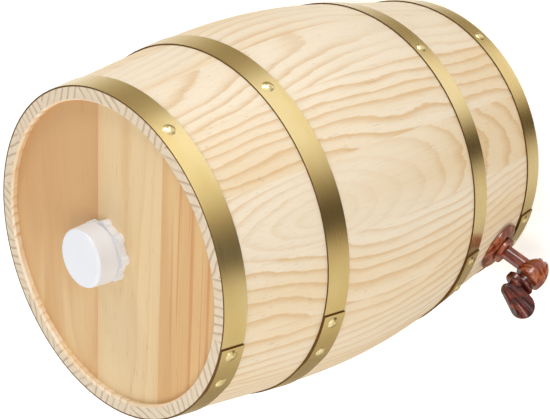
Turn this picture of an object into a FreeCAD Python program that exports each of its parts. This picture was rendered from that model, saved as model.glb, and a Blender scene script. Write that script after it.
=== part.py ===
import FreeCAD, Part
import math
import os
import re
import Sketcher

SIZES = {
    # cask
    "height": 330.0,
    "end_radius": 114.8,
    "stave_slope": 0.1441,
    "cone_height": 98.0,
    "bilge_arc": 470.0,
    "wall": 9.4,
    "stave_angle": 22.5,
    "chime_bevel": 1.5,
    "croze_depth": 4.0,
    "head_recess": 5.0,
    "head_thickness": 8.0,
    "head_bevel": 1.6,
    # hoops and nails
    "hoop_width": 17.0,
    "hoop_metal": 1.1,
    "bilge_hoop_foot": 81.0,
    "lap_angle": 18.2,
    "scarf_angle": 6.0,
    "scarf_edge": 0.15,
    "nail_head": 4.3,
    "nail_dome": 1.7,
    "nail_shank": 1.1,
    "nail_length": 5.0,
    "nail_point": 2.0,
    # inner tank and filler
    "tank_gap": 1.2,
    "tank_wall": 2.5,
    "tank_foot": 14.0,
    "tank_top": 316.0,
    "tank_corner": 10.0,
    "filler_right": 1.5,
    "filler_back": 3.7,
    "neck_radius": 18.5,
    "neck_bore": 15.5,
    "neck_top": 345.5,
    "neck_shoulder": 27.0,
    "neck_flange": 3.0,
    "collar_radius": 19.5,
    "collar_height": 5.6,
    "lobe_radius": 4.0,
    "lobe_centre": 18.3,
    "lobe_count": 8,
    "cap_foot": 334.0,
    "cap_top": 348.8,
    "cap_radius": 21.3,
    "cap_taper": 0.8,
    "cap_round": 2.6,
    "cap_roof": 2.0,
    "cap_clearance": 0.4,
    # tap
    "tap_height": 40.0,
    "tap_lean": 8.2,
    "tap_turn": 30.0,
    "key_lean": 4.0,
    "tail_radius": 8.0,
    "tail_end": 31.0,
    "seat_radius": 17.6,
    "seat_depth": 1.2,
    "flange_radius": 20.0,
    "flange_height": 4.2,
    "shoulder_radius": 10.6,
    "shoulder_near": 4.5,
    "shoulder_far": 8.2,
    "shank_radius": 5.6,
    "water_bore": 3.5,
    "boss_radius": 15.0,
    "boss_near": 11.0,
    "boss_far": 15.5,
    "seal_thickness": 2.4,
    "nut_flats": 26.0,
    "nut_height": 8.0,
    "egg_distance": 35.0,
    "egg_radius": 11.0,
    "egg_middle": 4.0,
    "egg_side_arc": 20.0,
    "egg_nose_arc": 8.75,
    "egg_nose": 7.0,
    "egg_nose_height": -8.1,
    "egg_rim": 8.7,
    "egg_foot": -9.4,
    "egg_foot_radius": 5.8,
    "plug_top_radius": 6.6,
    "plug_foot_radius": 5.6,
    "plug_foot": -6.6,
    "plug_clearance": 0.05,
    "outlet_radius": 4.0,
    "outlet_end": -11.2,
    "outlet_bore": 2.6,
    "clip_radius": 5.5,
    "clip_groove": 3.3,
    "clip_thickness": 0.8,
    "clip_gap": 5.0,
    "ring_radius": 0.9,
    "ring_room": 0.15,
    "ring_above": 5.9,
    "ring_below": -5.2,
    "key_neck": 7.8,
    "key_disc": 9.4,
    "key_disc_foot": 12.4,
    "key_disc_top": 15.4,
    "handle_turn": 30.0,
    "handle_thickness": 6.0,
    "handle_round": 1.6,
    "heel_radius": 7.0,
    "heel_offset": 6.2,
    "heel_top": 20.0,
    "leaf_foot": 15.3,
    "leaf_belly": 12.0,
    "leaf_tip": 21.6,
    "leaf_tip_height": 25.0,
    "leaf_crown": 11.0,
    "leaf_crown_height": 34.5,
    "leaf_arc": 9.5,
    "nose_crown": -4.4,
    "nose_crown_height": 30.9,
    "nose_tip": -9.8,
    "nose_tip_height": 24.6,
    "nose_foot": -5.0,
    "nose_arc": 5.6,
    "flute_radius": 5.0,
    "flute_depth": 0.7,
    "flute_slope": -85.0,
    "flute_fan": 9.0,
    "flute_pitch": 5.2,
}

STAVE_COUNT = 16
NAIL_TURNS = (-83.0, -6.1, 6.1, 83.0, 180.0)
BOARD_TURN = -161.0
BOARD_EDGES = (-130.0, -76.0, -13.8, 50.0, 130.0)
HOOP_TURNS = {
    "base_chime_hoop": 0.0,
    "lower_bilge_hoop": -1.3,
    "upper_bilge_hoop": 0.8,
    "top_chime_hoop": 0.0,
}
CAP_LOBE_TURN = 18.0

document = FreeCAD.newDocument("CaskDispenser")
sheet = document.addObject("Spreadsheet::Sheet", "Sizes")
for row, (alias, size) in enumerate(SIZES.items(), start=1):
    sheet.set(f"A{row}", alias)
    sheet.set(f"B{row}", str(size))
    sheet.setAlias(f"B{row}", alias)
document.recompute()

parts = []


def link(formula):
    """Write a formula of size names as an expression on the sheet."""
    return re.sub(r"[a-z_]+", lambda m: "Sizes." + m[0] if m[0] in SIZES else m[0], str(formula))


def value(formula):
    """The number that a formula of size names has now."""
    return float(sheet.evalExpression(link(formula)))


def keep(item, label, placement=None):
    """Name a finished sub-part, place it and put it on the list."""
    item.Label = label
    if placement:
        item.Placement = placement
    parts.append(item)
    return item


def new_body(name):
    return document.addObject("PartDesign::Body", name)


def origin_plane(body, role):
    return next(item for item in body.Origin.OriginFeatures if item.Role == role)


def new_sketch(body, role):
    sketch = body.newObject("Sketcher::SketchObject", body.Name + "_sketch")
    sketch.AttachmentSupport = (origin_plane(body, role), [""])
    sketch.MapMode = "FlatFace"
    return sketch


def arc_between(start, end, radius, side):
    """The short arc between two points, bulging to the left (1) or the right (-1)."""
    middle = (start + end) / 2
    chord = end - start
    normal = FreeCAD.Vector(-chord.y, chord.x, 0).normalize() * side
    sagitta = radius - math.sqrt(radius ** 2 - (chord.Length / 2) ** 2)
    return Part.Arc(start, middle + normal * sagitta, end)


def outline(sketch, corners):
    """Draw a closed outline whose corners are pairs of formulas.

    A third entry, (radius formula, side), makes the edge that leaves the corner an arc.
    """
    count = len(corners)
    points = [FreeCAD.Vector(value(c[0]), value(c[1]), 0) for c in corners]
    arcs = {i: c[2] for i, c in enumerate(corners) if len(c) > 2}
    for i in range(count):
        start, end = points[i], points[(i + 1) % count]
        if i in arcs:
            radius, side = arcs[i]
            sketch.addGeometry(arc_between(start, end, value(radius), side))
        else:
            sketch.addGeometry(Part.LineSegment(start, end))
    ends = []
    for i in range(count):
        forward = sketch.getPoint(i, 1).distanceToPoint(points[i]) < 1e-6
        ends.append((1, 2) if forward else (2, 1))
    for i in range(count):
        following = (i + 1) % count
        sketch.addConstraint(Sketcher.Constraint("Coincident", i, ends[i][1], following, ends[following][0]))
    for i, corner in enumerate(corners):
        for kind, formula in (("DistanceX", corner[0]), ("DistanceY", corner[1])):
            index = sketch.addConstraint(
                Sketcher.Constraint(kind, -1, 1, i, ends[i][0], value(formula)))
            sketch.setExpression(f"Constraints[{index}]", link(formula))
        if i in arcs:
            index = sketch.addConstraint(Sketcher.Constraint("Radius", i, value(arcs[i][0])))
            sketch.setExpression(f"Constraints[{index}]", link(arcs[i][0]))
    return sketch


def revolve(body, sketch, axis="V_Axis", angle=None):
    """Turn a sketch about one of its own axes, a full turn or an angle each side of it."""
    turn = body.newObject("PartDesign::Revolution", body.Name + "_turn")
    turn.Profile = sketch
    turn.ReferenceAxis = (sketch, [axis])
    turn.Midplane = True
    if angle:
        turn.setExpression("Angle", link(angle))
    else:
        turn.Angle = 360.0
    return turn


def turned(name, corners, axis="V_Axis", angle=None):
    """A body turned from an outline in the XZ plane."""
    body = new_body(name)
    revolve(body, outline(new_sketch(body, "XZ_Plane"), corners), axis, angle)
    return body


def cylinder(name, radius, height, placement=None):
    item = document.addObject("Part::Cylinder", name)
    item.setExpression("Radius", link(radius))
    item.setExpression("Height", link(height))
    if placement:
        item.Placement = placement
    return item


def cut(name, base, tool):
    item = document.addObject("Part::Cut", name)
    item.Base = base
    item.Tool = tool
    return item


def fuse(name, shapes):
    item = document.addObject("Part::MultiFuse", name)
    item.Shapes = shapes
    return item


def turn_z(angle):
    return FreeCAD.Placement(FreeCAD.Vector(), FreeCAD.Rotation(FreeCAD.Vector(0, 0, 1), angle))


def tap_frame():
    """The tap's own frame: +X out along the shank from the stave's face, +Z up the key's axis."""
    foot = FreeCAD.Vector(0, -value("end_radius + stave_slope * tap_height"), value("tap_height"))
    out = FreeCAD.Rotation(FreeCAD.Vector(0, 0, 1), -90.0)
    lean = FreeCAD.Rotation(FreeCAD.Vector(0, 1, 0), value("tap_lean"))
    turn = FreeCAD.Rotation(FreeCAD.Vector(1, 0, 0), value("tap_turn"))
    return FreeCAD.Placement(foot, out * lean * turn)


def along_x(distance):
    """A placement that lays a cylinder's axis along +X, its foot at a distance."""
    rotation = FreeCAD.Rotation(FreeCAD.Vector(0, 1, 0), 90.0)
    return FreeCAD.Placement(FreeCAD.Vector(distance, 0, 0), rotation)


def along_z(x, z):
    return FreeCAD.Placement(FreeCAD.Vector(x, 0, z), FreeCAD.Rotation())


TAP = tap_frame()


def key_frame():
    """The key's own frame in the tap's: its axis leans back a little towards the cask."""
    lean = FreeCAD.Rotation(FreeCAD.Vector(0, 1, 0), -value("key_lean"))
    return FreeCAD.Placement(FreeCAD.Vector(value("egg_distance"), 0, 0), lean)


KEY = key_frame()
FILLER = FreeCAD.Placement(FreeCAD.Vector(value("filler_right"), value("filler_back"), 0), FreeCAD.Rotation())


def stave_corners():
    """The stave's section: straight, flared ends joined by a long arc over the bilge."""
    low_in = "end_radius - wall + stave_slope * "
    groove_low = f"{low_in}(head_recess) + croze_depth"
    groove_high = f"{low_in}(head_recess + head_thickness) + croze_depth"
    shoulder = "end_radius + stave_slope * cone_height"
    inside = shoulder + " - wall"
    lower = [
        ("end_radius - wall + chime_bevel", "0"),
        (low_in + "chime_bevel", "chime_bevel"),
        (low_in + "head_recess", "head_recess"),
        (groove_low, "head_recess"),
        (groove_low, "head_recess + head_thickness"),
        (low_in + "(head_recess + head_thickness)", "head_recess + head_thickness"),
        (inside, "cone_height", ("bilge_arc - wall", -1)),
    ]
    upper = [(c[0], f"height - ({c[1]})") for c in reversed(lower)]
    outer = [
        ("end_radius", "height"),
        (shoulder, "height - cone_height", ("bilge_arc", 1)),
        (shoulder, "cone_height"),
        ("end_radius", "0"),
    ]
    return lower + upper + outer


def make_staves():
    """Sixteen staves side by side; the one over the tap is bored and faced for it."""
    blank = turned("tap_stave_blank", stave_corners(), angle="stave_angle")
    blank.Placement = turn_z(-90.0)
    hole = cylinder("tap_hole", "tail_radius + 0.5", "4 * wall", TAP * along_x(-value("2 * wall")))
    seat = cylinder("tap_seat", "seat_radius", "2 * wall", TAP * along_x(-value("seat_depth")))
    keep(cut("tap_stave", blank, fuse("tap_bore", [hole, seat])), "tap_stave")
    for number in range(1, STAVE_COUNT):
        name = f"stave_{number:02d}"
        stave = turned(name, stave_corners(), angle="stave_angle")
        keep(stave, name, turn_z(-90.0 + number * value("stave_angle")))


def head_corners(foot):
    """A head's section, bevelled where it enters the staves' grooves."""
    groove = "end_radius - wall + stave_slope * head_recess + croze_depth - 0.2"
    top = f"{foot} + head_thickness"
    return [
        ("0", foot),
        (f"{groove} - head_bevel", foot),
        (groove, f"{foot} + head_bevel"),
        (groove, f"{top} - head_bevel"),
        (f"{groove} - head_bevel", top),
        ("0", top),
    ]


def make_heads():
    """Each head is four boards, joined edge to edge and turned to one disc.

    The top head is bored for the filler's neck, a little off its centre.
    """
    whole = {
        "top_head": turned("top_head_blank", head_corners("height - head_recess - head_thickness")),
        "bottom_head": turned("bottom_head_blank", head_corners("head_recess")),
    }
    bore = cylinder("top_head_bore", "neck_radius + 0.3", "2 * height", FILLER)
    whole["top_head"] = cut("top_head_bored", whole["top_head"], bore)
    for name, disc in whole.items():
        for number in range(4):
            low, high = BOARD_EDGES[number:number + 2]
            slab = document.addObject("Part::Box", f"{name}_slab_{number + 1}")
            slab.Length = BOARD_EDGES[-1] - BOARD_EDGES[0]
            slab.Width = high - low
            slab.setExpression("Height", link("height"))
            slab.Placement = turn_z(BOARD_TURN) * FreeCAD.Placement(
                FreeCAD.Vector(BOARD_EDGES[0], low, 0), FreeCAD.Rotation())
            board = document.addObject("Part::Common", f"{name}_board_{number + 1}")
            board.Base = disc
            board.Tool = slab
            keep(board, f"{name}_board_{number + 1}")


def hoop_corners(foot, layer, up):
    """A hoop's section, lying on the flare of the staves; layer 1 is the lapped end."""
    inner = "end_radius + hoop_metal * {} + stave_slope * ({})"
    low, high = foot, f"{foot} + hoop_width"
    rise = [low, high] if up else [f"height - ({low})", f"height - ({high})"]
    return [
        (inner.format(layer, rise[0]), low),
        (inner.format(layer + 1, rise[0]), low),
        (inner.format(layer + 1, rise[1]), high),
        (inner.format(layer, rise[1]), high),
    ]


def nail_point(middle, turn, up):
    """Where a nail goes in: on the hoop's middle, square to the flare of the staves."""
    rise = middle if up else value("height") - middle
    radius = value("end_radius + hoop_metal") + value("stave_slope") * rise
    lean = math.degrees(math.atan(value("stave_slope"))) * (1 if up else -1)
    rotation = FreeCAD.Rotation(FreeCAD.Vector(0, 0, 1), turn - 90.0)
    rotation = rotation * FreeCAD.Rotation(FreeCAD.Vector(0, 1, 0), 90.0 + lean)
    lap = value("hoop_metal") if abs(turn) < value("lap_angle") / 2 else 0.0
    out = rotation.multVec(FreeCAD.Vector(0, 0, 1))
    foot = FreeCAD.Rotation(FreeCAD.Vector(0, 0, 1), turn - 90.0).multVec(FreeCAD.Vector(radius, 0, middle))
    return FreeCAD.Placement(foot + out * lap, rotation)


def scarf_tool(name, middle, up):
    """A block that planes the hidden end of a lap down to the hoop under it."""
    rise = middle if up else value("height") - middle
    radius = value("end_radius + hoop_metal") + value("stave_slope") * rise
    run = radius * math.radians(value("scarf_angle"))
    drop = value("hoop_metal - scarf_edge")
    sagitta = run ** 2 / (8 * radius)
    out = FreeCAD.Vector(radius + value("scarf_edge") + drop / 2 - sagitta, 0, middle)
    lean = math.degrees(math.atan(value("stave_slope"))) * (1 if up else -1)
    tilt = FreeCAD.Rotation(FreeCAD.Vector(0, 0, 1), -math.degrees(math.atan(drop / run)))
    tilt = tilt * FreeCAD.Rotation(FreeCAD.Vector(0, 1, 0), lean)
    block = document.addObject("Part::Box", name)
    block.Length = run
    block.Width = 4 * run
    block.setExpression("Height", link("2 * hoop_width"))
    turn = turn_z(-90.0 - value("lap_angle + scarf_angle") / 2)
    corner = FreeCAD.Placement(FreeCAD.Vector(0, -2 * run, -value("hoop_width")), FreeCAD.Rotation())
    block.Placement = turn * FreeCAD.Placement(out, tilt) * corner
    return block


def make_hoops():
    """Four flat brass hoops, each lapped over the tap and nailed, with domed nails.

    The lap's outer end shows as a step, and its other end is planed down to the hoop under it.
    """
    feet = {
        "base_chime_hoop": ("0", True),
        "lower_bilge_hoop": ("bilge_hoop_foot", True),
        "upper_bilge_hoop": ("height - bilge_hoop_foot - hoop_width", False),
        "top_chime_hoop": ("height - hoop_width", False),
    }
    dome_arc = "(nail_head * nail_head + nail_dome * nail_dome) / (2 * nail_dome)"
    nail = turned("nail_pattern", [
        ("0", "-nail_length"),
        ("nail_shank * 0.4", "-nail_length"),
        ("nail_shank", "-nail_length + nail_point"),
        ("nail_shank", "0"),
        ("nail_head", "0", (dome_arc, -1)),
        ("0", "nail_dome"),
    ])
    document.recompute()
    for name, (foot, up) in feet.items():
        ring = turned(name + "_ring", hoop_corners(foot, 0, up))
        middle = value(f"{foot} + hoop_width / 2")
        tail = turned(name + "_tail", hoop_corners(foot, 1, up), angle="lap_angle + scarf_angle")
        tail.Placement = turn_z(-90.0 - value("scarf_angle / 2"))
        lap = cut(name + "_lap", tail, scarf_tool(name + "_scarf", middle, up))
        places = [nail_point(middle, turn, up) for turn in NAIL_TURNS]
        holes = []
        around = turn_z(HOOP_TURNS[name])
        for number, place in enumerate(places):
            punch = place * FreeCAD.Placement(FreeCAD.Vector(0, 0, -4), FreeCAD.Rotation())
            holes.append(cylinder(f"{name}_hole_{number}", "nail_shank", "6", punch))
        band = fuse(name + "_band", [ring, lap])
        keep(cut(name, band, fuse(name + "_holes", holes)), name, around)
        nails = document.addObject("Part::Feature", name + "_nails")
        nails.Shape = Part.Compound([placed(nail.Shape, around * place) for place in places])
        keep(nails, name + "_nails")


def placed(shape, placement):
    copy = shape.copy()
    copy.Placement = placement
    return copy


def tank_wall_corners(gap, low, high, side):
    """One face of the tank's wall, the same distance inside the staves all the way.

    It runs up the outside, where the bilge's arc is on side -1, or down the inside, on side 1.
    """
    inset = f"end_radius - wall - {gap}"
    foot = f"{inset} + stave_slope * ({low} + tank_corner)"
    head = f"{inset} + stave_slope * (height - {high} + tank_corner)"
    shoulder = f"{inset} + stave_slope * cone_height"
    corners = [
        (f"{foot} - tank_corner", low),
        (foot, f"{low} + tank_corner"),
        (shoulder, "cone_height"),
        (shoulder, "height - cone_height"),
        (head, f"{high} - tank_corner"),
        (f"{head} - tank_corner", high),
    ]
    if side > 0:
        corners.reverse()
    corners[2] += ((f"bilge_arc - wall - {gap}", side),)
    return corners


def make_tank():
    """The plastic tank that holds the drink, with the pad that the tap clamps to."""
    shell = turned("tank_shell", [("0", "tank_foot")]
                   + tank_wall_corners("tank_gap", "tank_foot", "tank_top", -1)
                   + [("0", "tank_top"), ("0", "tank_top - tank_wall")]
                   + tank_wall_corners("(tank_gap + tank_wall)", "(tank_foot + tank_wall)",
                                       "(tank_top - tank_wall)", 1)
                   + [("0", "tank_foot + tank_wall")])
    boss = cylinder("tank_boss", "boss_radius", "boss_far - boss_near", TAP * along_x(-value("boss_far")))
    outlet = cylinder("tank_outlet", "tail_radius + 0.1", "3 * boss_radius",
                      TAP * along_x(-value("2 * boss_radius")))
    mouth = cylinder("tank_mouth", "neck_radius + 0.2", "height", FILLER * along_z(0, value("height / 2")))
    openings = fuse("tank_openings", [outlet, mouth])
    keep(cut("tank", fuse("tank_with_boss", [shell, boss]), openings), "tank")


def make_filler():
    """The filler: a neck clamped through the head, its gasket and lobed collar, the cap and its seal."""
    underside = "tank_top - tank_wall"
    keep(turned("filler_neck", [
        ("neck_bore", f"{underside} - neck_flange"),
        ("neck_shoulder - 1", f"{underside} - neck_flange"),
        ("neck_shoulder", f"{underside} - neck_flange + 1"),
        ("neck_shoulder", underside),
        ("neck_radius", underside),
        ("neck_radius", "neck_top - 0.6"),
        ("neck_radius - 0.6", "neck_top"),
        ("neck_bore", "neck_top"),
    ]), "filler_neck", FILLER)
    keep(turned("neck_gasket", [
        ("neck_radius + 0.1", "tank_top"),
        ("neck_shoulder", "tank_top"),
        ("neck_shoulder", "height - head_recess - head_thickness"),
        ("neck_radius + 0.1", "height - head_recess - head_thickness"),
    ]), "neck_gasket", FILLER)

    foot = FreeCAD.Placement(FreeCAD.Vector(0, 0, value("height - head_recess")), FreeCAD.Rotation())
    disc = cylinder("collar_disc", "collar_radius", "collar_height", foot)
    lobes = []
    for number in range(int(value("lobe_count"))):
        turn = turn_z(CAP_LOBE_TURN - 90.0 + number * 360.0 / value("lobe_count"))
        shift = FreeCAD.Placement(FreeCAD.Vector(value("lobe_centre"), 0, 0), FreeCAD.Rotation())
        lobes.append(cylinder(f"collar_lobe_{number}", "lobe_radius", "collar_height", foot * turn * shift))
    bore = cylinder("collar_bore", "neck_radius + 0.05", "3 * collar_height", foot)
    collar = cut("filler_collar", fuse("collar_blank", [disc] + lobes), bore)
    keep(collar, "filler_collar", FILLER)

    inside = "neck_radius + cap_clearance"
    keep(turned("screw_cap", [
        (inside, "cap_foot"),
        ("cap_radius", "cap_foot"),
        ("cap_radius - cap_taper", "cap_top - cap_round", ("cap_round", -1)),
        ("cap_radius - cap_taper - cap_round", "cap_top"),
        ("0", "cap_top"),
        ("0", "cap_top - cap_roof"),
        (inside, "cap_top - cap_roof"),
    ]), "screw_cap", FILLER)
    keep(turned("cap_seal", [
        ("0", "neck_top"),
        ("neck_radius", "neck_top"),
        ("neck_radius", "cap_top - cap_roof"),
        ("0", "cap_top - cap_roof"),
    ]), "cap_seal", FILLER)


def make_tap_fixing():
    """The tap's fixing: flange and gasket outside, seal and nut inside the tank."""
    bore = "tail_radius + 0.2"
    keep(turned("tap_flange", [
        ("0", bore),
        ("0", "flange_radius - 0.8"),
        ("0.8", "flange_radius"),
        ("1.6", "flange_radius", ("flange_radius - 7", 1)),
        ("flange_height", "shoulder_radius + 1.2"),
        ("flange_height", bore),
    ], axis="H_Axis"), "tap_flange", TAP)
    keep(turned("flange_gasket", [
        ("-seat_depth", bore),
        ("-seat_depth", "seat_radius - 0.4"),
        ("0", "seat_radius - 0.4"),
        ("0", bore),
    ], axis="H_Axis"), "flange_gasket", TAP)
    keep(turned("tank_seal", [
        ("-boss_far - seal_thickness", bore),
        ("-boss_far - seal_thickness", "boss_radius - 1"),
        ("-boss_far", "boss_radius - 1"),
        ("-boss_far", bore),
    ], axis="H_Axis"), "tank_seal", TAP)

    near = "(boss_far + seal_thickness)"
    hexagon = document.addObject("Part::Prism", "nut_hexagon")
    hexagon.Polygon = 6
    hexagon.setExpression("Circumradius", link("nut_flats / sqrt(3)"))
    hexagon.setExpression("Height", link("nut_height"))
    hexagon.Placement = along_x(-value(f"{near} + nut_height"))
    hole = cylinder("nut_bore", "tail_radius", "4 * nut_height", along_x(-value(f"{near} + 2 * nut_height")))
    keep(cut("tank_nut", hexagon, hole), "tank_nut", TAP)


def make_tap_body():
    """Threaded tail, shoulder, shank and the egg-shaped seat of the key, moulded in one."""
    stem = turned("tap_stem", [
        ("-tail_end", "0"),
        ("-tail_end", "tail_radius - 1"),
        ("-tail_end + 1", "tail_radius"),
        ("shoulder_near", "tail_radius"),
        ("shoulder_near", "shoulder_radius - 0.8"),
        ("shoulder_near + 0.8", "shoulder_radius"),
        ("shoulder_far - 1.2", "shoulder_radius", ("1.2", 1)),
        ("shoulder_far", "shoulder_radius - 1.2"),
        ("shoulder_far", "shank_radius + 1"),
        ("shoulder_far + 1", "shank_radius"),
        ("egg_distance", "shank_radius"),
        ("egg_distance", "0"),
    ], axis="H_Axis")
    egg = turned("tap_egg", [
        ("0", "egg_foot"),
        ("egg_foot_radius", "egg_foot", ("egg_nose_arc", -1)),
        ("egg_nose", "egg_nose_height", ("egg_side_arc", -1)),
        ("egg_radius", "egg_middle", ("egg_side_arc", -1)),
        ("egg_radius - 0.25", "egg_rim - 1", ("1", -1)),
        ("egg_radius - 1.2", "egg_rim"),
        ("0", "egg_rim"),
    ])
    egg.Placement = KEY
    socket = turned("key_socket", [
        ("0", "egg_rim + 1"),
        ("plug_top_radius", "egg_rim + 1"),
        ("plug_top_radius", "egg_rim"),
        ("plug_foot_radius", "plug_foot"),
        ("outlet_radius + plug_clearance", "plug_foot"),
        ("outlet_radius + plug_clearance", "egg_foot - 1"),
        ("0", "egg_foot - 1"),
    ])
    socket.Placement = KEY
    waterway = cylinder("tap_waterway", "water_bore", "tail_end + egg_distance + 1",
                        along_x(-value("tail_end + 1")))
    keep(cut("tap_body", fuse("tap_blank", [stem, egg]), fuse("tap_bores", [socket, waterway])),
         "tap_body", TAP)


def plug_radius(height):
    """The plug's radius at a height on its taper, as a formula."""
    share = f"({height} - plug_foot) / (egg_rim - plug_foot)"
    return f"plug_foot_radius + (plug_top_radius - plug_foot_radius) * {share} - plug_clearance"


def ring_groove(height):
    """The corners of the groove that holds a seal ring in the plug."""
    floor = f"{plug_radius(height)} - 2 * ring_radius"
    low, high = (f"{height} {side} (ring_radius + ring_room)" for side in "-+")
    return [(plug_radius(f"({low})"), low), (floor, low), (floor, high), (plug_radius(f"({high})"), high)]


def make_key():
    """The key: a tapered plug with an angled waterway, a disc, and a leaf-shaped handle."""
    plug = turned("key_plug", [
        ("0", "outlet_end"),
        ("outlet_radius", "outlet_end"),
        ("outlet_radius", "plug_foot + plug_clearance"),
        ("plug_foot_radius - plug_clearance", "plug_foot + plug_clearance"),
        *ring_groove("ring_below"),
        *ring_groove("ring_above"),
        ("plug_top_radius - plug_clearance", "egg_rim"),
        ("plug_top_radius - plug_clearance", "egg_rim + 0.6"),
        ("key_neck", "egg_rim + 1.6"),
        ("key_neck", "key_disc_foot"),
        ("key_disc - 1", "key_disc_foot"),
        ("key_disc", "key_disc_foot + 1"),
        ("key_disc", "key_disc_top - 1.2", ("1.2", -1)),
        ("key_disc - 1.2", "key_disc_top"),
        ("0", "key_disc_top"),
    ])
    blade = new_body("key_blade")
    sketch = outline(new_sketch(blade, "XZ_Plane"), [
        ("leaf_belly", "leaf_foot", ("leaf_arc", -1)),
        ("leaf_tip", "leaf_tip_height", ("leaf_arc", -1)),
        ("leaf_crown", "leaf_crown_height"),
        ("nose_crown", "nose_crown_height", ("nose_arc", -1)),
        ("nose_tip", "nose_tip_height"),
        ("nose_foot", "leaf_foot"),
    ])
    pad = blade.newObject("PartDesign::Pad", "key_blade_pad")
    pad.Profile = sketch
    pad.Midplane = True
    pad.setExpression("Length", link("handle_thickness"))
    document.recompute()
    rims = [f"Edge{n}" for n, edge in enumerate(pad.Shape.Edges, start=1)
            if abs(edge.CenterOfMass.y) > value("handle_thickness") / 2 - 0.01
            and edge.CenterOfMass.z > value("leaf_foot + 1")]
    fillet = blade.newObject("PartDesign::Fillet", "key_blade_round")
    fillet.Base = (pad, rims)
    fillet.setExpression("Radius", link("handle_round"))

    heel = turned("key_heel", [
        ("0", "key_disc_foot + 1"),
        ("heel_radius - 1", "key_disc_foot + 1"),
        ("heel_radius", "key_disc_foot + 2"),
        ("heel_radius", "heel_top - 2.5", ("2.5", -1)),
        ("heel_radius - 2.5", "heel_top"),
        ("0", "heel_top"),
    ])
    heel.Placement = along_z(-value("heel_offset"), 0)
    flutes = []
    for side in (-1, 1):
        depth = value("handle_thickness / 2 + flute_radius - flute_depth") * side
        for step in (-1, 0, 1):
            height = value("leaf_tip_height") + step * value("flute_pitch")
            fan = FreeCAD.Rotation(FreeCAD.Vector(0, 1, 0), value("flute_slope") - step * value("flute_fan"))
            line = FreeCAD.Placement(FreeCAD.Vector(value("leaf_crown"), depth, height), fan)
            start = along_z(0, -value("2.4 * flute_radius"))
            flutes.append(cylinder(f"flute_{side}_{step}", "flute_radius", "6 * flute_radius", line * start))
    leaf = cut("key_leaf", blade, fuse("key_flutes", flutes))
    handle = fuse("key_handle", [leaf, heel])
    handle.Placement = turn_z(-value("handle_turn"))

    cutters = [
        cylinder("key_outlet", "outlet_bore", "1 - outlet_end", along_z(0, value("outlet_end - 1"))),
        cylinder("key_port", "water_bore - 0.5", "2 * plug_top_radius", FreeCAD.Placement(
            FreeCAD.Vector(), FreeCAD.Rotation(FreeCAD.Vector(1, 0, 0), 90.0))),
    ]
    slot = turned("clip_slot", [
        ("clip_groove", "egg_foot - 0.1 - clip_thickness"),
        ("outlet_radius + 1", "egg_foot - 0.1 - clip_thickness"),
        ("outlet_radius + 1", "egg_foot - 0.05"),
        ("clip_groove", "egg_foot - 0.05"),
    ])
    cutters.append(slot)
    key = cut("tap_key", fuse("key_blank", [plug, handle]), fuse("key_cutters", cutters))
    keep(key, "tap_key", TAP * KEY)

    document.recompute()
    rings = []
    for height in ("ring_above", "ring_below"):
        radius = value(f"{plug_radius(height)} - ring_radius + plug_clearance / 2")
        rings.append(Part.makeTorus(radius, value("ring_radius"), FreeCAD.Vector(0, 0, value(height))))
    seals = document.addObject("Part::Feature", "key_seals")
    seals.Shape = Part.Compound(rings)
    keep(seals, "key_seals", TAP * KEY)

    clip = turned("clip_ring", [
        ("clip_groove", "egg_foot - 0.1 - clip_thickness"),
        ("clip_radius", "egg_foot - 0.1 - clip_thickness"),
        ("clip_radius", "egg_foot - 0.1"),
        ("clip_groove", "egg_foot - 0.1"),
    ])
    gap = document.addObject("Part::Box", "clip_mouth")
    gap.setExpression("Length", link("2 * clip_radius"))
    gap.setExpression("Width", link("clip_gap"))
    gap.setExpression("Height", link("4 * clip_thickness"))
    gap.Placement = FreeCAD.Placement(
        FreeCAD.Vector(0, -value("clip_gap / 2"), value("egg_foot - 3 * clip_thickness")), FreeCAD.Rotation())
    keep(cut("key_clip", clip, gap), "key_clip", TAP * KEY)


def check_and_export():
    """Stop on any failed object or bad solid, then write one STEP file for each sub-part."""
    document.recompute()
    for item in document.Objects:
        if "Invalid" in item.State or "Error" in item.State:
            raise RuntimeError(f"{item.Name} failed to build: {item.State}")
    os.makedirs("parts", exist_ok=True)
    for item in parts:
        if item.Shape.isNull() or not item.Shape.isValid() or not item.Shape.Solids:
            raise RuntimeError(f"{item.Label} has a bad shape")
        item.Shape.exportStep(f"parts/{item.Label}.step")


make_staves()
make_heads()
make_hoops()
make_tank()
make_filler()
make_tap_fixing()
make_tap_body()
make_key()
check_and_export()
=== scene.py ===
import math

import bmesh
import bpy
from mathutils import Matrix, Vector

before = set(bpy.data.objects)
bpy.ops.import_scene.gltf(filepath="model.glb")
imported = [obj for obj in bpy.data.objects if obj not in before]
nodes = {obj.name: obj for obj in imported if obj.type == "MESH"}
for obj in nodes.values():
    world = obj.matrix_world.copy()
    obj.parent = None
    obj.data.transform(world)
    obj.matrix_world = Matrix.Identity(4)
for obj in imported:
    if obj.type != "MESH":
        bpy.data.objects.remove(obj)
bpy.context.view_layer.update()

# The picture: the cask is seen from above its capped head, rolled so that the head points to
# the lower left. It stands on a pale floor under large soft lamps, before plain white.
CAMERA_PLACE = (0.6039, -0.46145, 0.83732)
CAMERA_DEGREES = (-22.1065, 44.8495, -66.5008)
CAMERA_LENS = 89.26
SENSOR_WIDTH = 36.0
WHITE = (1.0, 1.0, 1.0, 1.0)
BLACK = (0.0, 0.0, 0.0, 1.0)
FLOOR_REACH = 4.0
FLOOR_DROP = 0.0005
FLOOR_GLOW = 0.4
ROOM_LIGHT = (0.57, 0.56, 0.54, 1.0)
SEEING_RAYS = ("Is Camera Ray", "Is Glossy Ray", "Is Transmission Ray")

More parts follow.
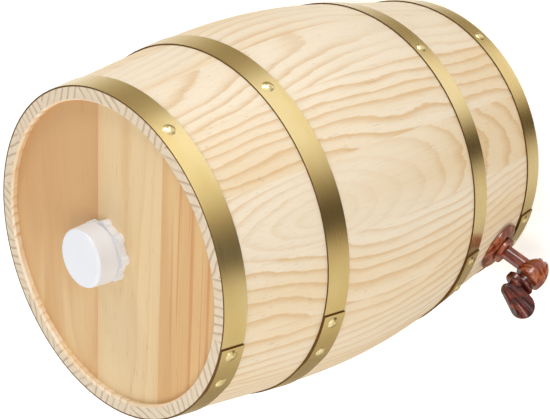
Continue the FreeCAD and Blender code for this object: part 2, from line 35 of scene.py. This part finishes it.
camera = bpy.data.objects.new("Camera", bpy.data.cameras.new("Camera"))
bpy.context.scene.collection.objects.link(camera)
camera.location = CAMERA_PLACE
camera.rotation_euler = [math.radians(angle) for angle in CAMERA_DEGREES]
camera.data.lens = CAMERA_LENS
camera.data.sensor_width = SENSOR_WIDTH
bpy.context.scene.camera = camera
bpy.context.scene.view_settings.view_transform = "Standard"


def paint(red, green, blue):
    """A colour given as a paint chart does, 0 to 255, as the shaders want it."""
    shares = [channel / 255 for channel in (red, green, blue)]
    linear = [share / 12.92 if share <= 0.04045 else ((share + 0.055) / 1.055) ** 2.4 for share in shares]
    return (*linear, 1.0)


class Strand:
    """One value inside a finish; the usual signs work it with numbers and other strands."""

    def __init__(self, finish, socket):
        self.finish = finish
        self.socket = socket

    def reckon(self, operation, *values):
        return self.finish.node("Math", dict(enumerate(values)), operation=operation)

    def __add__(self, other):
        return self.reckon("ADD", self, other)

    def __sub__(self, other):
        return self.reckon("SUBTRACT", self, other)

    def __rsub__(self, other):
        return self.reckon("SUBTRACT", other, self)

    def __mul__(self, other):
        return self.reckon("MULTIPLY", self, other)

    def __truediv__(self, other):
        return self.reckon("DIVIDE", self, other)

    def __pow__(self, other):
        return self.reckon("POWER", self, other)

    def __abs__(self):
        return self.reckon("ABSOLUTE", self)

    def fraction(self):
        return self.reckon("FRACT", self)

    def or_more(self, other):
        """The larger of the two."""
        return self.reckon("MAXIMUM", self, other)

    def fade(self, low, high):
        """0 below low, 1 above high, smooth between; high may be the lower of the two."""
        return self.finish.node("MapRange", {"Value": self, "From Min": low, "From Max": high},
                                interpolation_type="SMOOTHSTEP")


class Recipe:
    """A tree of shader nodes, with one call for any node and a few for those used most."""

    def __init__(self, tree):
        self.tree = tree

    def node(self, kind, sockets, output=0, **settings):
        made = self.tree.nodes.new("ShaderNode" + kind)
        stops = settings.pop("stops", None)
        for setting, value in settings.items():
            setattr(made, setting, value)
        if stops:
            while len(made.color_ramp.elements) < len(stops):
                made.color_ramp.elements.new(1.0)
            for element, (place, colour) in zip(made.color_ramp.elements, stops):
                element.position = place
                element.color = colour
        for socket, value in sockets.items():
            self.feed(made.inputs[socket], value)
        return Strand(self, made.outputs[output])

    def feed(self, socket, value):
        if isinstance(value, Strand):
            self.tree.links.new(value.socket, socket)
        else:
            socket.default_value = value

    def place(self, turn=(0, 0, 0), stretch=(1, 1, 1), shift=(0, 0, 0)):
        """The object's own coordinates, turned, stretched and shifted."""
        sockets = {"Rotation": turn, "Scale": stretch, "Location": shift}
        return self.node("Mapping", {"Vector": self.node("TexCoord", {}, output="Object"), **sockets})

    def parts_of(self, vector):
        split = self.node("SeparateXYZ", {"Vector": vector}).socket.node
        return [Strand(self, split.outputs[axis]) for axis in "XYZ"]

    def facing(self):
        """Where the surface faces, as parts along the object's own axes."""
        return self.parts_of(self.node("TexCoord", {}, output="Normal"))

    def angle_of(self, parts):
        """The angle round the upright axis, in radians from -pi to pi."""
        return parts[1].reckon("ARCTAN2", parts[1], parts[0])

    def cloud(self, vector, scale=1.0, detail=2.0, roughness=0.5):
        sockets = {"Scale": scale, "Detail": detail, "Roughness": roughness}
        return self.node("TexNoise", {"Vector": vector, **sockets})

    def blend(self, share, first, second):
        return self.node("Mix", {0: share, 6: first, 7: second}, output=2, data_type="RGBA")

    def rays(self, *kinds):
        """1 for rays of any of these kinds."""
        path = self.node("LightPath", {}).socket.node
        hit = Strand(self, path.outputs[kinds[0]])
        for kind in kinds[1:]:
            hit = hit.or_more(Strand(self, path.outputs[kind]))
        return hit


class Finish(Recipe):
    """A material made of one Principled shader and the nodes that feed it."""

    def __init__(self, name, **constants):
        self.material = bpy.data.materials.new(name)
        self.material.use_nodes = True
        super().__init__(self.material.node_tree)
        self.shader = self.tree.nodes["Principled BSDF"]
        self.set(**constants)

    def set(self, **sockets):
        for socket, value in sockets.items():
            self.feed(self.shader.inputs[socket.replace("_", " ")], value)

    def bump(self, height, depth, strength):
        self.set(Normal=self.node("Bump", {"Height": height, "Distance": depth, "Strength": strength}))

    def cover(self, *names):
        """Give this finish to CAD nodes, or to new pieces."""
        for name in names:
            piece = nodes[name] if isinstance(name, str) else name
            piece.data.materials.clear()
            piece.data.materials.append(self.material)


def stage_piece(name, build):
    sheet = bmesh.new()
    build(sheet)
    piece = bpy.data.objects.new(name, bpy.data.meshes.new(name))
    sheet.to_mesh(piece.data)
    sheet.free()
    bpy.context.scene.collection.objects.link(piece)
    return piece


def floor_sheet(sheet):
    bmesh.ops.create_grid(sheet, x_segments=1, y_segments=1, size=FLOOR_REACH)
    bmesh.ops.translate(sheet, verts=sheet.verts, vec=(0, 0, -FLOOR_DROP))


floor = stage_piece("studio_floor", floor_sheet)
pale_floor = Finish("pale_floor", Base_Color=paint(236, 235, 232), Roughness=0.8)
seen = pale_floor.rays(*SEEING_RAYS)
pale_floor.set(Emission_Strength=seen * FLOOR_GLOW, Emission_Color=WHITE)
pale_floor.cover(floor)

world = bpy.data.worlds.new("Studio")
bpy.context.scene.world = world
world.use_nodes = True
studio = Recipe(world.node_tree)
studio.feed(world.node_tree.nodes["Background"].inputs["Color"],
            studio.blend(studio.rays(*SEEING_RAYS), ROOM_LIGHT, WHITE))

# A glowing grey bowl under the cask, paling to white at its rim, is no lamp and paints reflections.
# Only reflections see it, and it gives the brass painted light and dark bands. The floor is kept
# out of reflections, as it would cover the bowl.
BOWL_RADIUS = 3.5
BOWL_RIM = 0.01
WHITE_FROM = -0.9
REFLECTION_WARMTH = (1.0, 1.15, 1.5)
# How bright the painted reflection is at each angle, in degrees round the bowl.
REFLECTION_LEVELS = (
    (0, 0.34), (20, 0.38), (40, 0.5), (60, 0.75), (77, 0.8), (98, 0.7), (108, 0.3),
    (113, 0.03), (127, 0.06), (139, 0.34), (152, 0.8), (166, 1.0), (205, 1.0), (215, 0.6),
    (223, 0.38), (240, 0.32), (257, 0.5), (275, 0.8), (295, 1.0), (330, 0.85), (352, 0.42),
)


def painted_reflection_sheet(sheet):
    bmesh.ops.create_uvsphere(sheet, u_segments=72, v_segments=36, radius=BOWL_RADIUS)
    upper = [corner for corner in sheet.verts if corner.co.z > BOWL_RIM]
    bmesh.ops.delete(sheet, geom=upper, context="VERTS")


def reflection_tone(level):
    """Darker parts of the painted reflection are warmer."""
    return (*(level ** power for power in REFLECTION_WARMTH), 1.0)


def seen_in_gloss_only(piece):
    piece.visible_camera = False
    piece.visible_diffuse = False
    piece.visible_transmission = False
    piece.visible_shadow = False


floor.visible_glossy = False
reflection_bowl = stage_piece("painted_reflection_bowl", painted_reflection_sheet)
seen_in_gloss_only(reflection_bowl)
painted_reflection_glow = Finish("painted_reflection_glow", Base_Color=BLACK, Roughness=1.0, Specular_IOR_Level=0.0,
                   Emission_Strength=1.0)
spot = painted_reflection_glow.parts_of(painted_reflection_glow.place())
around = painted_reflection_glow.angle_of(spot) / (2 * math.pi) + 0.5
stops = [(degrees / 360, reflection_tone(level)) for degrees, level in REFLECTION_LEVELS]
greys = painted_reflection_glow.node("ValToRGB", {"Fac": around}, stops=stops)
# The bowl's glow is a painted reflection, seen only in the brass and other glossy surfaces.
painted_reflection_glow.set(Emission_Color=painted_reflection_glow.blend(spot[2].fade(WHITE_FROM, 0.0), greys, WHITE))
painted_reflection_glow.cover(reflection_bowl)

# A glowing white sheet beside the cask, no lamp and seen only in reflections, puts a painted
# highlight on the polished tap.
SCREEN_PLACE = Vector((2.16, 0.25, 0.46))
SCREEN_REACH = 0.42
SCREEN_LIGHT = 9.0


def painted_highlight_sheet(sheet):
    tilt = SCREEN_PLACE.to_track_quat("Z", "Y").to_matrix()
    bmesh.ops.create_grid(sheet, x_segments=1, y_segments=1, size=SCREEN_REACH)
    bmesh.ops.rotate(sheet, verts=sheet.verts, matrix=tilt)
    bmesh.ops.translate(sheet, verts=sheet.verts, vec=SCREEN_PLACE)


highlight_sheet = stage_piece("painted_highlight_sheet", painted_highlight_sheet)
seen_in_gloss_only(highlight_sheet)
# Painted highlight: this sheet glows, and only reflections see it.
painted_highlight_glow = Finish("painted_highlight_glow", Base_Color=BLACK, Emission_Color=WHITE, Emission_Strength=SCREEN_LIGHT)
painted_highlight_glow.cover(highlight_sheet)

# Three soft boxes light the cask: one above it, one by the camera and one on the left. Places
# and sizes are in metres, powers in watts.
CASK_MIDDLE = Vector((0, 0, 0.17))


def soft_lamp(name, place, size, power):
    """A square soft box aimed at the middle of the cask."""
    lamp = bpy.data.objects.new(name, bpy.data.lights.new(name, "AREA"))
    lamp.data.shape = "SQUARE"
    lamp.data.size = size
    lamp.data.energy = power
    lamp.location = place
    lamp.rotation_euler = (CASK_MIDDLE - Vector(place)).to_track_quat("-Z", "Y").to_euler()
    bpy.context.scene.collection.objects.link(lamp)


soft_lamp("upper_box", place=(1.30, 0.90, 0.80), size=0.40, power=9)
soft_lamp("camera_box", place=(0.5, -1.3, 1.5), size=0.8, power=12)
soft_lamp("left_box", place=(-1.2, -0.4, 1.3), size=1.2, power=7)

# The sixteen staves are sawn from pine boards, jointed edge to edge and turned to one smooth
# barrel shape; each is cut from another place in the log, so its rings run their own way.
STAVE_TURN = 22.5
BARREL_HEIGHT = 0.33
STAVE_BEND = 0.012
FLAT_SAWN_STEP = 4
LATE_CREAM = paint(222, 184, 131)
FLECK_BROWN = paint(170, 126, 84)
END_RING = 0.0060
END_PALE = paint(223, 207, 182)
END_DARK = paint(162, 128, 96)
END_DUST = paint(208, 182, 150)
GRAIN_DEPTH = 0.00012


class Pine(Finish):
    """Pine sawn from a log: rings about the log's heart, cut wherever the surface lies.

    turn lays the board's width on Y; along is the axis of its length, 0 or 2. bend is how far
    the board was bent outward at the middle, in metres. seed tells one board from another.
    """

    def __init__(self, name, turn, along, seed, bend=0.0):
        super().__init__(name)
        self.along = along
        self.seed = seed
        self.spot = self.place(turn=(0, 0, -turn))
        axes = self.parts_of(self.spot)
        self.length = axes[along]
        self.out = axes[2 - along]
        self.across = axes[1]
        if bend:
            reach = self.length / (BARREL_HEIGHT / 2) - 1.0
            self.out = self.out + (reach * reach - 1.0) * bend

    def grain(self, lengthwise, crosswise, detail=2.0, roughness=0.5):
        """Clouds drawn out along the board; both counts are per metre."""
        stretch = [crosswise] * 3
        stretch[self.along] = lengthwise
        shift = (self.seed * 3.1, self.seed * 1.7, self.seed * 2.3)
        moved = self.node("Mapping", {"Vector": self.spot, "Scale": stretch, "Location": shift})
        return self.cloud(moved, detail=detail, roughness=roughness)

    def late_wood(self, heart, lean, spacing):
        """The share of dark late wood, which rises to 1 towards the end of each year's ring.

        heart is the log's heart as distances out and across in metres, lean its slope along
        the board, and spacing the width of a ring.
        """
        sway = (self.grain(3.2, 6.0) - 0.5) * 0.03
        ripple = (self.grain(14.0, 45.0) - 0.5) * 0.004
        feather = self.grain(30.0, 420.0, detail=3.0, roughness=0.65)
        off_out = self.out - heart[0] + self.length * lean[0] + sway
        off_across = self.across - heart[1] + self.length * lean[1] + sway * 0.6
        reach = (off_out * off_out + off_across * off_across) ** 0.5 + ripple
        years = reach / spacing + (self.grain(2.2, 22.0) - 0.5) * 1.6 + (feather - 0.5) * 0.35
        year = years.fraction()
        return year.fade(0.2, 0.92) ** 2.2 * year.fade(1.0, 0.9)

    def end_grain(self):
        """The colour of the board's sawn ends, crossed by its rings at a slant."""
        slant = math.sin(self.seed * 4.3) * 0.9
        years = (self.across * math.cos(slant) + self.out * math.sin(slant)) / END_RING
        year = (years + (self.cloud(self.spot, scale=70.0) - 0.5) * 0.7).fraction()
        strength = self.cloud(self.spot, scale=55.0).fade(0.3, 0.6) * 0.45 + 0.2
        dark = year.fade(0.55, 0.86) * year.fade(1.0, 0.93) * strength
        dust = self.cloud(self.spot, scale=200.0).fade(0.4, 0.7) * 0.35
        return self.blend(dust, self.blend(dark, END_PALE, END_DARK), END_DUST)

    def colour(self, rings, early, late, figure):
        """Lay the rings over the early wood, figure strong, with streaks, flecks and ends."""
        patch = self.grain(3.5, 12.0).fade(0.30, 0.64)
        streak = self.grain(22.0, 900.0, detail=3.0, roughness=0.7)
        flecks = self.grain(60.0, 1000.0).fade(0.67, 0.75) * patch
        face = self.blend(rings * (patch * 0.8 + 0.2) * figure, early, late)
        face = self.blend((streak - 0.5).fade(0.0, 0.2) * 0.22, face, late)
        face = self.blend(flecks * 0.5, face, FLECK_BROWN)
        end = abs(self.facing()[self.along]).fade(0.75, 0.92)
        self.set(Base_Color=self.blend(end, face, self.end_grain()), Roughness=0.54 - rings * 0.1)
        self.bump(streak * 0.5 + rings * 0.3, GRAIN_DEPTH, 0.5)


def cream_wood(board):
    return board.blend(board.grain(1.8, 14.0).fade(0.36, 0.66), paint(242, 227, 203), paint(237, 214, 178))


stave_names = ["tap_stave"] + [f"stave_{number:02d}" for number in range(1, 16)]
for number, name in enumerate(stave_names):
    seed = number * 5.37 + 1.9
    turn = math.radians(number * STAVE_TURN - 90.0)
    side = math.sin(seed * 12.9)
    heart_out = 0.060 - 0.02 * abs(side)
    if number % FLAT_SAWN_STEP == 2:
        heart = (heart_out, 0.012 * side)
        lean_out = math.copysign(0.26, side)
    else:
        heart = (heart_out, 0.045 * side + math.copysign(0.02, side))
        lean_out = 0.06 * math.sin(seed * 1.3)
    lean = (lean_out, 0.05 * math.cos(seed * 2.1))
    spacing = 0.0050 + 0.0008 * math.sin(seed * 5.1)
    figure = 0.8 + 0.2 * math.sin(seed * 2.9 + 0.9)
    stave = Pine(f"stave_pine_{number:02d}", turn, 2, seed, bend=STAVE_BEND)
    stave.colour(stave.late_wood(heart, lean, spacing), cream_wood(stave), LATE_CREAM, figure)
    stave.cover(name)

# Each head is four planed pine boards glued edge to edge, cut round and let into a groove in
# the staves. The heads were lacquered darker: two boards are honey fading to straw, one is
# straw, and the last is honey with orange veins.
BOARD_TURN = math.radians(-161.0)
BOARD_RING = 0.0065
BOARD_FIGURE = 0.24
BOARD_STEP = 0.06
BOARD_MIDDLE = 2.5
VEIN_EDGE = 0.052
LATE_HONEY = paint(196, 140, 84)
LATE_STRAW = paint(204, 159, 104)


def faded_honey(board):
    level = board.length + (board.grain(7.0, 22.0) - 0.5) * 0.20
    patches = board.grain(3.0, 24.0).fade(0.36, 0.62) * 0.8
    patched = board.blend(patches, paint(220, 187, 138), paint(206, 160, 107))
    return board.blend(level.fade(0.045, -0.04) * 0.75, patched, paint(202, 153, 99))


def plain_straw(board):
    return board.blend(board.grain(2.5, 26.0).fade(0.40, 0.68), paint(226, 199, 154), paint(215, 179, 129))


def veined_honey(board):
    reach = board.across + (board.grain(6.0, 14.0) - 0.5) * 0.05
    patches = board.grain(2.5, 26.0).fade(0.38, 0.64)
    pale = board.blend(patches, paint(222, 188, 136), paint(213, 171, 115))
    inner = reach.fade(VEIN_EDGE + 0.016, VEIN_EDGE + 0.002) * 0.55
    veins = board.grain(3.5, 330.0, detail=3.0).fade(0.55, 0.64) * board.grain(4.0, 16.0).fade(0.40, 0.56)
    return board.blend(veins * 0.6, board.blend(inner, pale, paint(200, 150, 92)), paint(192, 126, 68))


head_boards = (
    (1, LATE_HONEY, faded_honey), (2, LATE_HONEY, faded_honey),
    (3, LATE_STRAW, plain_straw), (4, LATE_HONEY, veined_honey),
)
for head, side in (("top_head", 1.0), ("bottom_head", -1.0)):
    for number, late, early_wood in head_boards:
        seed = number * 7.31 + 40.0 * side
        heart = (0.32 * side + 0.06, 0.035 * math.sin(seed * 2.7) + (number - BOARD_MIDDLE) * BOARD_STEP)
        lean = (0.05 * math.sin(seed), 0.03 * math.cos(seed * 1.9))
        board = Pine(f"{head}_pine_{number}", BOARD_TURN, 0, seed)
        board.colour(board.late_wood(heart, lean, BOARD_RING), early_wood(board), late, BOARD_FIGURE)
        board.cover(f"{head}_board_{number}")

# The hoops are satin rolled brass strip, lapped over the tap. Their outer faces carry fine
# rolling lines; their sheared edges and the ends of their laps carry painted shade in dark brown.
ROLLING_LINES = 900.0
LINE_DEPTH = 0.00002
hoop_names = ("base_chime_hoop", "lower_bilge_hoop", "upper_bilge_hoop", "top_chime_hoop")
brass = Finish("hoop_brass", Metallic=1.0)
point = brass.parts_of(brass.place())
strip = brass.node("CombineXYZ", {"X": brass.angle_of(point) * 3.0, "Y": point[2] * ROLLING_LINES, "Z": 0.0})
lines = brass.cloud(strip, detail=3.0)
tarnish = brass.cloud(brass.place(stretch=(14, 14, 30)), detail=3.0)
facing = brass.facing()
radius = (point[0] * point[0] + point[1] * point[1]) ** 0.5
lap_end = abs(facing[1] * point[0] - facing[0] * point[1]) / radius
# Painted shade: the hoops' edges and lap ends are coloured dark brown, and made rougher.
painted_edge_shade = abs(facing[2]).or_more(lap_end).fade(0.7, 0.95)
metal = brass.blend(tarnish.fade(0.3, 0.75), paint(244, 220, 162), paint(234, 205, 138))
brass.set(Base_Color=brass.blend(painted_edge_shade, metal, paint(104, 74, 34)))
brass.set(Roughness=lines * 0.06 + tarnish * 0.08 + painted_edge_shade * 0.25 + 0.18)
brass.bump(lines, LINE_DEPTH, 0.2)
brass.cover(*hoop_names)

# Domed brass nails hold each hoop: a pair through the lap and three more around it.
nail_brass = Finish("nail_brass", Metallic=1.0, Roughness=0.26)
dents = nail_brass.cloud(nail_brass.place(stretch=(420, 420, 420)), detail=1.0)
nail_brass.set(Base_Color=nail_brass.blend(dents.fade(0.3, 0.7), paint(240, 222, 170), paint(222, 196, 134)))
nail_brass.bump(dents, 0.0004, 0.5)
nail_brass.cover(*(name + "_nails" for name in hoop_names))

# The liner tank is blow-moulded natural polyethylene, faintly cloudy, and hidden inside the
# staves.
def speckled(name, counts, detail, first, second, **constants):
    """A finish of two close tones in a cloud; counts are per metre on each axis."""
    finish = Finish(name, **constants)
    specks = finish.cloud(finish.place(stretch=counts), detail=detail)
    finish.set(Base_Color=finish.blend(specks, first, second))
    return finish, specks


tank_plastic, haze = speckled("tank_plastic", (40, 40, 40), 3.0, paint(238, 238, 230),
                              paint(224, 226, 218), Roughness=0.45)
tank_plastic.bump(haze, 0.0002, 0.3)
tank_plastic.cover("tank")

# The filler is injection-moulded white plastic: a neck clamped through the head by a lobed
# collar, with a plain round screw cap on it. Seals and gaskets are white silicone.
white_plastic = speckled("white_plastic", (60, 60, 60), 1.0, paint(234, 237, 243),
                         paint(229, 231, 238), Roughness=0.34)[0]
grit = white_plastic.cloud(white_plastic.place(stretch=(1500, 1500, 1500)))
white_plastic.bump(grit, 0.00004, 0.4)
white_plastic.cover("filler_neck", "filler_collar", "screw_cap", "tank_nut")
silicone, bloom = speckled("seal_rubber", (90, 90, 90), 2.0, paint(222, 220, 214),
                           paint(208, 206, 200), Roughness=0.6)
silicone.bump(bloom, 0.0001, 0.3)
silicone.cover("neck_gasket", "cap_seal", "flange_gasket", "tank_seal", "key_seals")

# The tap is moulded in marbled red-brown resin that imitates rosewood, polished to a high
# gloss: a round flange and a streaky body, with a turning key that has a leaf-shaped handle.
STREAK_COUNTS = (230, 22, 230)
SWIRL_COUNT = 50.0
SWIRL_PULL = 0.012
TONE_PLACES = (0.26, 0.42, 0.52, 0.62, 0.76)
BODY_TONES = (
    paint(80, 26, 13), paint(118, 48, 28), paint(144, 70, 43), paint(182, 106, 66), paint(146, 84, 70),
)
KEY_TONES = (
    paint(34, 6, 4), paint(64, 15, 8), paint(88, 26, 12), paint(128, 52, 26), paint(80, 24, 13),
)


def marbled(name, seed, tones):
    """Marbling drawn out along the shank, which points away from the cask."""
    resin = Finish(name, Roughness=0.08, Specular_IOR_Level=0.5)
    swirl_place = {"Vector": resin.place(shift=(seed, seed, 0)), "Scale": SWIRL_COUNT, "Detail": 1.0}
    swirl = resin.node("TexNoise", swirl_place, output=1)
    pull = resin.node("VectorMath", {0: swirl, "Scale": SWIRL_PULL}, operation="SCALE")
    bent = resin.node("VectorMath", {0: resin.place(), 1: pull}, operation="ADD")
    drawn = resin.node("Mapping", {"Vector": bent, "Scale": STREAK_COUNTS, "Location": (seed, 0, seed)})
    streaks = resin.cloud(drawn, detail=3.0)
    resin.set(Base_Color=resin.node("ValToRGB", {"Fac": streaks}, stops=list(zip(TONE_PLACES, tones))))
    return resin


marbled("body_resin", 3.0, BODY_TONES).cover("tap_flange", "tap_body")
marbled("key_resin", 8.0, KEY_TONES).cover("tap_key")
steel = speckled("clip_steel", (300, 300, 2000), 2.0, paint(200, 200, 202),
                 paint(170, 170, 174), Metallic=1.0, Roughness=0.3)[0]
steel.cover("key_clip")
